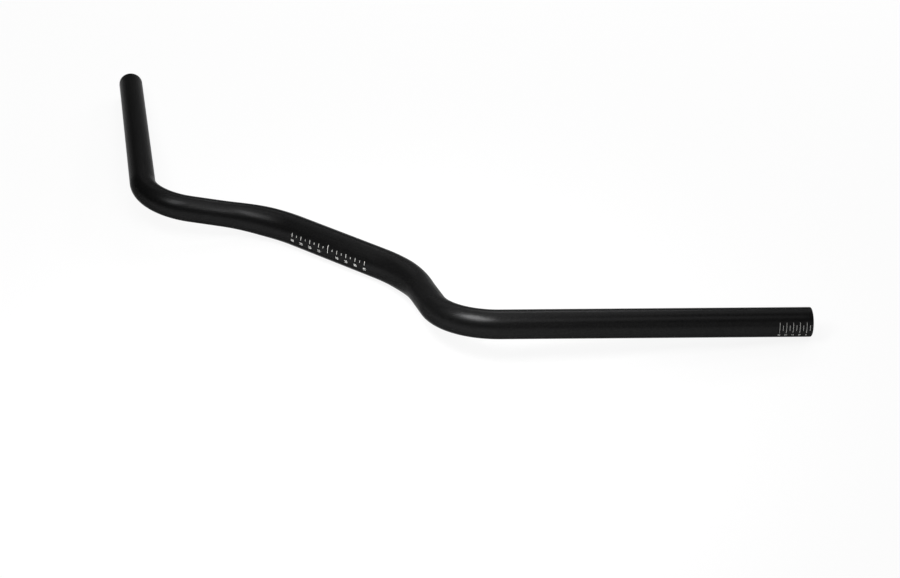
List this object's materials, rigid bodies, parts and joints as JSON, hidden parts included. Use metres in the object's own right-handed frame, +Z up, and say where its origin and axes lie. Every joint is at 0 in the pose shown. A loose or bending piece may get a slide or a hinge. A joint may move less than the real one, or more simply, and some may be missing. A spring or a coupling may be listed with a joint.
{
  "type": "bicycle handlebar",
  "caption": "Swept bicycle handlebar: one bent, tapered aluminium tube with a straight stem clamp, shoulders that rise forwards and long grips that sweep back.",
  "frame": {"origin": "middle of the stem clamp, on the tube's centre line", "axes": "+X along the clamp towards the rider's left grip, -Y to the front of the bicycle, +Z up"},
  "size_m": [0.7622, 0.1761, 0.0434],
  "materials": {
    "black_finish": "satin"
  },
  "bodies": {
    "root": {"handlebar": "black_finish"}
  },
  "joints": []
}
